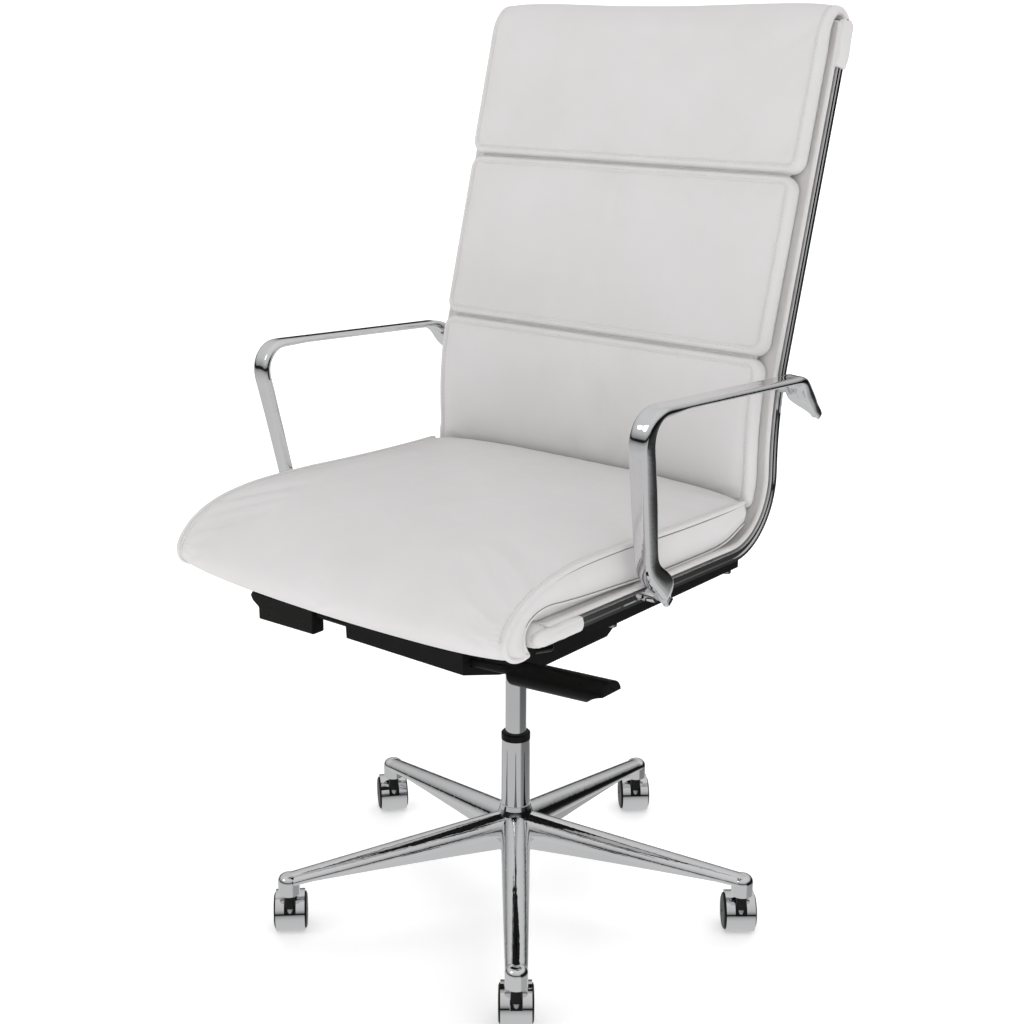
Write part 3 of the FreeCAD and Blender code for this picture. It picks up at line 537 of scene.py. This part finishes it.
def back_pad(name, line, start, end, half, thickness, rest, crown=0.0055):
    """A flat cushion with a sewn rim, along a side line. Its thickness may change from start to end."""
    columns = graded(2 * half, RIM_MARKS, PAD_CELL_ACROSS)
    rows = graded(end - start, RIM_MARKS, PAD_CELL_ALONG)
    half_length = (end - start) / 2
    front, back, held = [], [], []
    for row, along in enumerate(rows):
        for column, across in enumerate(columns):
            x, run = across - half, along - half_length
            inset_x, inset_run = half - abs(x), half_length - abs(run)
            inset = min(inset_x, inset_run)
            p, q = 1 - inset_x / PAD_CORNER, 1 - inset_run / PAD_CORNER
            if p > 0 and q > 0:
                p, q = p * math.sqrt(1 - q * q / 2), q * math.sqrt(1 - p * p / 2)
                x = math.copysign(half - PAD_CORNER + p * PAD_CORNER, x)
                run = math.copysign(half_length - PAD_CORNER + q * PAD_CORNER, run)
                inset = PAD_CORNER * (1 - min(math.hypot(p, q), 1))
            thick = thickness(along / (end - start))
            length = start + half_length + run
            lift = swell(inset_x, inset_run)
            low = rest + back_height(inset, thick)
            high = rest + rim_height(inset, thick) + crown * lift
            front.append(in_room(x, line.at(length, high)))
            back.append(in_room(x, line.at(length, low)))
            if inset <= RIM + 0.0008:
                held.append(row * len(columns) + column)
    wide, tall = len(columns), len(rows)
    numbers = {}
    vertices = list(front)
    for row in range(tall):
        for column in range(wide):
            index = row * wide + column
            if row in (0, tall - 1) or column in (0, wide - 1):
                numbers[index] = index
            else:
                numbers[index] = len(vertices)
                vertices.append(back[index])
                held.append(numbers[index])
    faces = []
    for row in range(tall - 1):
        for column in range(wide - 1):
            a = row * wide + column
            quad = (a, a + 1, a + 1 + wide, a + wide)
            faces.append(quad)
            faces.append(tuple(numbers[index] for index in reversed(quad)))
    item = new_object(name, vertices, faces, LEATHER)
    inflate(item, held, cap=0.005)
    subdivided(item)
    seam = rim_line(line, start + RIM_STITCHES, end - RIM_STITCHES, half - RIM_STITCHES,
                    PAD_CORNER - RIM_STITCHES * 0.6, lambda share: rest + thickness(share))
    dress_soft(item, stitches(name + "_stitching", [seam], item))
    return item


def rim_line(line, start, end, half, corner, height):
    """A closed line with rounded corners on a pad's face."""
    spots = []
    for side_x, side_run, first in ((1, 1, 0), (-1, 1, 90), (-1, -1, 180), (1, -1, 270)):
        for turn in range(0, 91, 15):
            angle = math.radians(first + turn)
            x = side_x * (half - corner) + corner * math.cos(angle)
            middle = end - corner if side_run > 0 else start + corner
            spots.append((x, middle + corner * math.sin(angle)))
    spots.append(spots[0])
    flat = []
    for a, b in zip(spots, spots[1:]):
        count = max(1, int(math.hypot(b[0] - a[0], b[1] - a[1]) / 0.006))
        flat += [(between(a[0], b[0], k / count), between(a[1], b[1], k / count)) for k in range(count)]
    flat.append(flat[0])
    return [in_room(x, line.at(run, height((run - start) / (end - start)))) for x, run in flat]


def dress_soft(*items):
    """Soft pieces all ride the seat unit."""
    for item in items:
        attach(item, "seat_unit")


def lumbar_and_middle():
    for name, span in (("lumbar_pad", LUMBAR_SPAN), ("middle_pad", MIDDLE_SPAN)):
        start, end = [RAIL.length_at_height(height) for height in span]

        def thickness(share):
            """The pad's own thickness, less where it is tucked down behind the seat."""
            foot, face = RAIL.at(between(start, end, share)), RAIL.at(between(start, end, share), 1.0)
            room = (foot.x - LUMBAR_FACE) / (foot.x - face.x) - PAD_REST
            return max(min(PAD_THICK, room), THINNEST_PAD)

        item = back_pad(name + "_cover", RAIL, start, end, PAD_HALF, thickness, PAD_REST)
        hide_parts(name)


def gussets():
    """The folded leather that shows in the narrow gaps between the back pads."""
    for name, height in zip(("lower_gusset", "upper_gusset"), PAD_GAPS):
        spot = RAIL.at(RAIL.length_at_height(height), GUSSET_RISE)
        half = PAD_HALF - 0.014
        line = [in_room(half * (k / 40 - 1), spot) for k in range(81)]
        dress_soft(tube(name, line, GUSSET_RADIUS, LINING, sides=12))


def headrest():
    """The top pad goes up the front, over the top bar and down behind it, thinner where it turns."""
    low, turn = [RAIL.length_at_height(height) for height in HEADREST_SPAN]
    count = 16
    rise = [RAIL.at(between(low, turn, k / count), PAD_REST) for k in range(count + 1)]
    line = SideLine(smooth_through(rise + HEADREST_TURN, 5), step=0.0025)
    straight = (turn - low) / line.total

    def thickness(share):
        eased = min(max((share - straight) / THINNING_SHARE, 0), 1)
        eased = eased * eased * (3 - 2 * eased)
        return between(PAD_THICK, HEADREST_THIN, eased)

    item = back_pad("headrest_pad_cover", line, 0.0, line.total, PAD_HALF + 0.003, thickness, 0.0,
                    crown=0.005)
    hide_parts("headrest_pad")


# ---------------------------------------------------------------- seat pad
# Side view of the two seams that border the side panel, from the back forwards and under the front.
TOP_SEAM = [(0.132, 0.5825), (0.077, 0.5825), (0.000, 0.5840), (-0.065, 0.5865), (-0.121, 0.5890),
            (-0.200, 0.5895), (-0.244, 0.5860), (-0.279, 0.5790), (-0.307, 0.5675), (-0.327, 0.5520),
            (-0.337, 0.5360), (-0.335, 0.5220), (-0.326, 0.5140), (-0.312, 0.5105), (-0.297, 0.512)]
LOW_SEAM = [(0.132, 0.5555), (0.080, 0.5395), (0.000, 0.5385), (-0.065, 0.5400), (-0.121, 0.5440),
            (-0.195, 0.5490), (-0.238, 0.5530), (-0.262, 0.5555), (-0.281, 0.5540), (-0.296, 0.5480),
            (-0.304, 0.5390), (-0.3055, 0.5310), (-0.3045, 0.5240), (-0.301, 0.5170), (-0.297, 0.5115)]
# How far the middle of the top panel rises above the upper seam, at each point of the seam.
SEAT_CROWN = [0.010, 0.019, 0.0205, 0.0195, 0.018, 0.0165, 0.0150, 0.0140, 0.0135, 0.0135, 0.0130, 0.0120,
              0.011, 0.010, 0.008]
SEAT_MARKS = [0.0, 0.0012, 0.0026, 0.0042, 0.0058, 0.0074, 0.0092, 0.0120, 0.0160, 0.0210, 0.0270]
SEAM_STEPS = 8          # smooth points between two points of a seam
SIDE_ROWS = 7           # rows of faces down a side panel
SEAT_CELL = 0.0078
SEWN_EDGE = 0.0013      # the top panel is sewn down this far in from its edges
SEAT_GROOVE = 0.0016    # depth of the seam beside the piping
GATHER_DEPTH = 0.0011
GATHERS = 46            # waves along the whole seam, of which only those at the corner show
SIDE_BULGE = 0.0042
SIDE_INSET = 0.0014     # how far in the side panels' edges lie
SEAT_GAP = 0.0004       # between the seat's underside and what it rests on
REAR_START, REAR_RUN = 0.05, 0.05       # towards the back, where the underside comes up to its seam
ROLL_CENTRE = Vector((RAIL_CORNERS[0][0] - 0.001, RAIL_CORNERS[0][1] - 0.0005))
ROLL_RADIUS = 0.0142
TUCK = 0.0045           # how far the seat's underside is drawn in from its lower seam
SEAT_STITCHES = 0.0065  # from the seat's edge to the row of stitches beside the piping
PAINTED_SHADE_SHARE = 0.085    # where the painted shade line under the piping lies, down the side panel
PAINTED_SHADE_RADIUS, LOW_PAINTED_SHADE_RADIUS = 0.0010, 0.0008
LAST_PAINTED_SHADE = 92        # smooth points of the lower seam that have a painted shade line over them
LAST_STITCH = 84        # smooth points of the upper seam that the stitches follow


def support(foot):
    """The place on the sling, or on the roll at its front, that a point of the lower seam rests over."""
    if foot.x < ROLL_CENTRE.x + ROLL_RADIUS:
        return ROLL_CENTRE + (foot - ROLL_CENTRE).normalized() * (ROLL_RADIUS + SEAT_GAP)
    front, corner = Vector(RAIL_CORNERS[0]), Vector(RAIL_CORNERS[1])
    level = between(front.y, corner.y, (foot.x - front.x) / (corner.x - front.x)) + SLING_TOP + SEAT_GAP
    rise = min(max((foot.x - REAR_START) / REAR_RUN, 0), 1)
    return Vector((foot.x, between(min(level, foot.y), foot.y, rise)))


def seat_cover():
    """A boxed cushion: a crowned top panel that rolls over the front, and side panels between seams."""
    top = smooth_through(TOP_SEAM, SEAM_STEPS)
    low = smooth_through(LOW_SEAM, SEAM_STEPS)
    crown = [spot.x for spot in smooth_through([(value, 0.0) for value in SEAT_CROWN], SEAM_STEPS)]
    columns = graded(2 * SEAT_HALF, SEAT_MARKS, SEAT_CELL)
    loops, held = [], []
    for index, (seam, foot) in enumerate(zip(top, low)):
        before, after = top[max(index - 1, 0)], top[min(index + 1, len(top) - 1)]
        way = (after - before).normalized()
        outward = Vector((way.y, -way.x))
        loop = []
        for column, across in enumerate(columns):
            x = across - SEAT_HALF
            inset = SEAT_HALF - abs(x)
            lift = crown[index] * (1 - (abs(x) / SEAT_HALF) ** 3.4) ** 0.8
            lift += gathers(index / (len(top) - 1), inset)
            lift -= SEAT_GROOVE * hill(inset, 0.0058, 0.0024)
            loop.append(in_room(x, seam + outward * lift))
            if inset < SEWN_EDGE:
                held.append((index, column))
        for side in (1, -1):
            for row in range(1, SIDE_ROWS):
                share = row / SIDE_ROWS
                if side < 0:
                    share = 1 - share
                bulge = SIDE_BULGE * math.sin(math.pi * share) - SIDE_INSET
                loop.append(in_room(side * (SEAT_HALF + bulge), between(seam, foot, share)))
                if row in (1, SIDE_ROWS - 1):
                    held.append((index, len(loop) - 1))
            if side > 0:
                loop.append(in_room(SEAT_HALF, foot))
                held.append((index, len(loop) - 1))
                for across in reversed(columns):
                    loop.append(in_room((across - SEAT_HALF) * (1 - TUCK / SEAT_HALF), support(foot)))
                    held.append((index, len(loop) - 1))
                loop.append(in_room(-SEAT_HALF, foot))
                held.append((index, len(loop) - 1))
        loops.append(loop)
    size = len(loops[0])
    vertices = [spot for loop in loops for spot in loop]
    faces = ring_faces(size, len(loops))
    wide = len(columns)
    first_low = wide + SIDE_ROWS
    for first, flip in ((0, False), ((len(loops) - 1) * size, True)):
        under = [first + first_low + (wide - 1 - column) for column in range(wide)]
        for column in range(wide - 1):
            quad = (first + column, first + column + 1, under[column + 1], under[column])
            faces.append(tuple(reversed(quad)) if flip else quad)
        right = [first + wide - 1] + [first + wide + k for k in range(SIDE_ROWS)] + [under[-1]]
        left = [under[0]] + [first + first_low + wide + k for k in range(SIDE_ROWS)] + [first]
        faces.append(tuple(right))
        faces.append(tuple(left))
    item = new_object("seat_pad_cover", vertices, faces, LEATHER)
    sewn = [loop * size + place for loop, place in held]
    inflate(item, sewn, cap=0.004, pressure=1.4, growth=0.0015)
    subdivided(item)
    rows = []
    for side, label in ((1, "left"), (-1, "right")):
        seam_line = [in_room(side * (SEAT_HALF + 0.0004), spot) for spot in top]
        foot_line = [in_room(side * (SEAT_HALF - 0.0002), spot) for spot in low]
        rows.append([spot + Vector((-side * SEAT_STITCHES, 0, 0.004)) for spot in seam_line[:LAST_STITCH]])
        piping = tube("seat_piping_" + label, seam_line, PIPING, LEATHER, sides=10)
        welt = tube("seat_welt_" + label, foot_line, WELT, LEATHER)
        # Thin dark tubes of painted shade: one on the side panel just under the piping, one over the lower
        # seam.
        shade = [in_room(side * (SEAT_HALF + 0.0002), between(spot, foot, PAINTED_SHADE_SHARE))
                 for spot, foot in zip(top, low)]
        foot_shade = [spot + Vector((side * 0.0004, 0, 0.0014)) for spot in foot_line[:LAST_PAINTED_SHADE]]
        dress_soft(piping, welt, tube("seat_painted_shade_" + label, shade, PAINTED_SHADE_RADIUS, PAINTED_SHADE),
                   tube("seat_low_painted_shade_" + label, foot_shade, LOW_PAINTED_SHADE_RADIUS, PAINTED_SHADE))
    dress_soft(stitches("seat_stitching", rows, item), item)
    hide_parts("seat_pad")


def gathers(share, inset):
    """Small gathers where the top panel is eased round the front corner into its seam."""
    shown = hill(share, 0.70, 0.075)
    fade = hill(inset, 0.010, 0.011)
    return GATHER_DEPTH * shown * fade * math.cos(share * 2 * math.pi * GATHERS)


# ---------------------------------------------------------------- sling
SLING_ROWS = (0.5935, 0.7465, 0.7535, 0.9610, 0.9680)   # heights of the rows of stitches across its back
ROW_HALF = 0.25
HEM_STITCHES = 0.0105   # from the sling's edge to the row of stitches along its hem
SLING_RIPPLE = 0.0005
ROLL_RIPPLE = 0.0006
TOP_ROLL_RADIUS = 0.0135
ROLL_TIP = 0.72         # what is left of a roll's radius at its ends
SLEEVE_TIP = 0.12       # what is left of a sleeve's section at its closed end
SQUARING = 0.75         # a power below 1 makes a sleeve's round section squarer
FOLD_DEPTH, SLEEVE_CREASE = 0.0012, 0.0016


def sling_cover():
    """The leather sling stretched between the rails, with a rolled hem along each edge."""
    hem = [(0.0030, SLING_LOW + 0.0004), (0.0006, SLING_LOW + 0.0024), (0.0, SLING_LOW + 0.0048),
           (0.0010, SLING_LOW + 0.0070), (0.0034, SLING_LOW + 0.0080), (0.0062, SLING_LOW + 0.0072),
           (0.0082, SLING_TOP - 0.0004)]
    inner = [0.24, 0.20, 0.15, 0.10, 0.05, 0.0]
    section = [(x, SLING_LOW) for x in reversed(inner)]
    section += [(SLING_HALF - inset, height) for inset, height in hem]
    section += [(x, SLING_TOP) for x in inner]
    mirrored = [(-x, height) for x, height in reversed(section[1:-1])]
    loop = section + mirrored
    count = round(RAIL.total / 0.006)
    vertices = []
    for index in range(count + 1):
        length = RAIL.total * index / count
        for x, height in loop:
            ripple = SLING_RIPPLE * noise.noise(Vector((x * 9, length * 22, 3.1)))
            vertices.append(in_room(x, RAIL.at(length, height + ripple)))
    item = new_object("sling_cover", vertices, capped_faces(len(loop), count + 1), LINING)
    subdivided(item)
    rows = []
    for side in (1, -1):
        x = side * (SLING_HALF - HEM_STITCHES)
        rows.append([in_room(x, RAIL.at(RAIL.total * k / 300, SLING_LOW)) for k in range(301)])
    for height in SLING_ROWS:
        spot = RAIL.at(RAIL.length_at_height(height), SLING_LOW)
        rows.append([in_room(-ROW_HALF + 2 * ROW_HALF * k / 60, spot) for k in range(61)])
    dress_soft(item, stitches("sling_stitching", rows, item))
    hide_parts("sling")


def sling_rolls():
    """The ends of the sling, wrapped round the front bar and the top bar."""
    top = RAIL.at(RAIL.length_at_height(TOP_BAR_HEIGHT))
    for name, centre, radius, half in (("front_roll", ROLL_CENTRE, ROLL_RADIUS, SLING_HALF + 0.0015),
                                       ("top_roll", top, TOP_ROLL_RADIUS, SLING_HALF - 0.010)):
        vertices = []
        sides, count = 20, 44
        for index in range(count + 1):
            x = half * (2 * index / count - 1)
            ends = min(1.0, ROLL_TIP + (half - abs(x)) / 0.02)
            for turn in turns(sides):
                wave = ROLL_RIPPLE * noise.noise(Vector((x * 40, math.cos(turn), math.sin(turn))))
                reach = (radius + wave) * ends
                vertices.append(in_room(x, centre + Vector((math.cos(turn), math.sin(turn))) * reach))
        dress_soft(subdivided(new_object(name, vertices, capped_faces(sides, count + 1), LINING)))


def sleeve(name, side, from_top, length, overhang, half_height, half_width):
    """A soft pocket pulled over the end of a rail, closed beyond the end and hemmed where it opens."""
    sections, sides = 26, 28
    vertices = []
    centre_x = side * (RAIL_X + 0.0005)
    for index in range(sections + 1):
        share = index / sections
        along = -overhang + (length + overhang) * share
        run = RAIL.total - along if from_top else along
        closing = math.sqrt(max(0.0, 1 - max(0.0, 1 - share / 0.22) ** 2.2))
        mouth = 1 - 0.10 * max(0.0, (share - 0.93) / 0.07) ** 2
        gather = 1 - 0.06 * hill(share, 0.86, 0.022)
        size = max(closing, SLEEVE_TIP) * mouth * gather
        for turn in turns(sides):
            c, s = math.cos(turn), math.sin(turn)
            wide_c, wide_s = [math.copysign(abs(value) ** SQUARING, value) for value in (c, s)]
            place = Vector((along * 60, c * 1.6 + side, s * 2.2 + (7 if from_top else 0)))
            fold = FOLD_DEPTH * noise.noise(place)
            crease = SLEEVE_CREASE * hill(s, 0.35, 0.10) if c * side > 0 else 0
            x = centre_x + (half_width * size + fold - crease) * wide_c
            height = (half_height * size + fold) * wide_s
            vertices.append(in_room(x, RAIL.at(run, height)))
    dress_soft(subdivided(new_object(name, vertices, capped_faces(sides, sections + 1), LEATHER)))


def sleeves():
    for side, label in ((1, "left"), (-1, "right")):
        sleeve("front_sleeve_" + label, side, False,
               length=0.063, overhang=0.017, half_height=0.0095, half_width=0.0088)
        sleeve("top_sleeve_" + label, side, True,
               length=0.058, overhang=0.002, half_height=0.0120, half_width=0.0086)


# ---------------------------------------------------------------- studio
# The camera, fitted to the photo: its place, its turns in degrees and its lens in millimetres.
CAMERA_SPOT = (1.2569, -1.5610, 1.1525)
CAMERA_TURN, CAMERA_DROP, CAMERA_ROLL = 39.017, 16.714, 0.209
CAMERA_LENS = 57.755
SCREEN_WAY = (0.77, 0.64, 0.0)      # towards the middle of the dark screen
# The dome's brightness by height, from straight down (0) over the horizon (0.5) to straight up (1).
OPEN_SIDE = [(0.0, 0.95), (0.25, 0.90), (0.40, 0.68), (0.465, 0.35), (0.488, 0.02), (0.542, 0.02),
             (0.575, 0.38), (0.64, 0.62), (0.72, 0.85), (1.0, 1.05)]
DARK_SIDE = [(0.0, 0.80), (0.24, 0.60), (0.33, 0.06), (0.45, 0.01), (0.62, 0.01), (0.68, 0.40),
             (0.80, 1.0), (1.0, 1.0)]
DOME_STRENGTH = 0.71
# Side view of the backdrop, as distance out and height.
BACKDROP = [(0.0, 0.0), (6.0, 0.0), (22.0, 0.0), (25.0, 0.25), (27.5, 1.2), (29.0, 3.0), (29.8, 12.0)]
FLOOR_GLOW = 0.42


def camera():
    data = bpy.data.cameras.new("camera")
    data.lens = CAMERA_LENS
    data.sensor_width = 36.0
    data.clip_start, data.clip_end = 0.05, 200.0
    item = bpy.data.objects.new("camera", data)
    bpy.context.scene.collection.objects.link(item)
    turn, drop = math.radians(CAMERA_TURN), math.radians(CAMERA_DROP)
    ahead = Vector((-math.sin(turn) * math.cos(drop), math.cos(turn) * math.cos(drop), -math.sin(drop)))
    item.rotation_mode = "QUATERNION"
    item.rotation_quaternion = (ahead.to_track_quat("-Z", "Y")
                                @ Quaternion((0, 0, 1), math.radians(CAMERA_ROLL)))
    item.location = CAMERA_SPOT
    bpy.context.scene.camera = item


def backdrop():
    """A pale studio floor that turns up into a wall far away. Reflections show the dome instead of it."""
    finish = Finish("pale_floor", Specular_IOR_Level=0.1, Emission_Color=(1.0, 1.0, 1.0, 1.0),
                    Emission_Strength=FLOOR_GLOW)
    finish.colour(finish.ramp(finish.noise(3.0), [(0.3, (0.86, 0.86, 0.86)), (0.7, (0.88, 0.88, 0.88))]))
    finish.roughness(finish.spread(finish.noise(8.0), 0.7, 0.8))
    sides = 96
    vertices = [(0.0, 0.0, 0.0)]
    for radius, height in BACKDROP[1:]:
        vertices += [(radius * math.cos(turn), radius * math.sin(turn), height) for turn in turns(sides)]
    faces = [(0, 1 + k, 1 + (k + 1) % sides) for k in range(sides)]
    faces += ring_faces(sides, len(BACKDROP) - 1, first=1)
    item = new_object("floor", vertices, faces, finish.material)
    item.visible_glossy = False


def sun(name, azimuth, elevation, strength, spread, mirrored=False):
    """A broad soft light from a direction, the azimuth turned from -Y towards +X."""
    data = bpy.data.lights.new(name, "SUN")
    data.energy = strength
    data.angle = math.radians(spread)
    item = bpy.data.objects.new(name, data)
    item.visible_glossy = mirrored
    bpy.context.scene.collection.objects.link(item)
    a, e = math.radians(azimuth), math.radians(elevation)
    towards = Vector((math.sin(a) * math.cos(e), -math.cos(a) * math.cos(e), math.sin(e)))
    item.rotation_mode = "QUATERNION"
    item.rotation_quaternion = towards.to_track_quat("Z", "Y")


def sky():
    """A soft dome. A dark screen stands on the picture's right, for contrast in polished metal."""
    world = bpy.data.worlds.new("studio")
    bpy.context.scene.world = world
    world.use_nodes = True
    nodes, links = world.node_tree.nodes, world.node_tree.links
    nodes.clear()
    output = nodes.new("ShaderNodeOutputWorld")
    background = nodes.new("ShaderNodeBackground")
    place = nodes.new("ShaderNodeTexCoord")
    split = nodes.new("ShaderNodeSeparateXYZ")
    height = nodes.new("ShaderNodeMapRange")
    height.inputs["From Min"].default_value = -1.0
    links.new(place.outputs["Generated"], split.inputs["Vector"])
    links.new(split.outputs["Z"], height.inputs["Value"])
    facing = nodes.new("ShaderNodeVectorMath")
    facing.operation = "DOT_PRODUCT"
    facing.inputs[1].default_value = SCREEN_WAY
    links.new(place.outputs["Generated"], facing.inputs[0])
    screen = nodes.new("ShaderNodeMapRange")
    screen.interpolation_type = "SMOOTHSTEP"
    screen.inputs["From Min"].default_value = 0.50
    screen.inputs["From Max"].default_value = 0.72
    links.new(facing.outputs["Value"], screen.inputs["Value"])
    mix = nodes.new("ShaderNodeMix")
    mix.data_type = "RGBA"
    links.new(screen.outputs["Result"], mix.inputs["Factor"])
    for socket, stops in ((MIX_A, OPEN_SIDE), (MIX_B, DARK_SIDE)):
        ramp = nodes.new("ShaderNodeValToRGB")
        fill_ramp(ramp, [(spot, (value, value, value)) for spot, value in stops])
        links.new(height.outputs["Result"], ramp.inputs["Fac"])
        links.new(ramp.outputs["Color"], mix.inputs[socket])
    links.new(mix.outputs[MIX_RESULT], background.inputs["Color"])
    background.inputs["Strength"].default_value = DOME_STRENGTH
    links.new(background.outputs["Background"], output.inputs["Surface"])


def studio():
    camera()
    backdrop()
    sky()
    sun("key", azimuth=-25, elevation=42, strength=0.16, spread=20, mirrored=True)
    sun("fill", azimuth=80, elevation=38, strength=0.26, spread=44)
    sun("back", azimuth=200, elevation=64, strength=0.50, spread=50)
    settings = bpy.context.scene.view_settings
    settings.view_transform = "Standard"
    settings.look = "None"


# ---------------------------------------------------------------- the whole chair
studio()
dress_cad()
lumbar_and_middle()
gussets()
headrest()
seat_cover()
sling_cover()
sling_rolls()
sleeves()
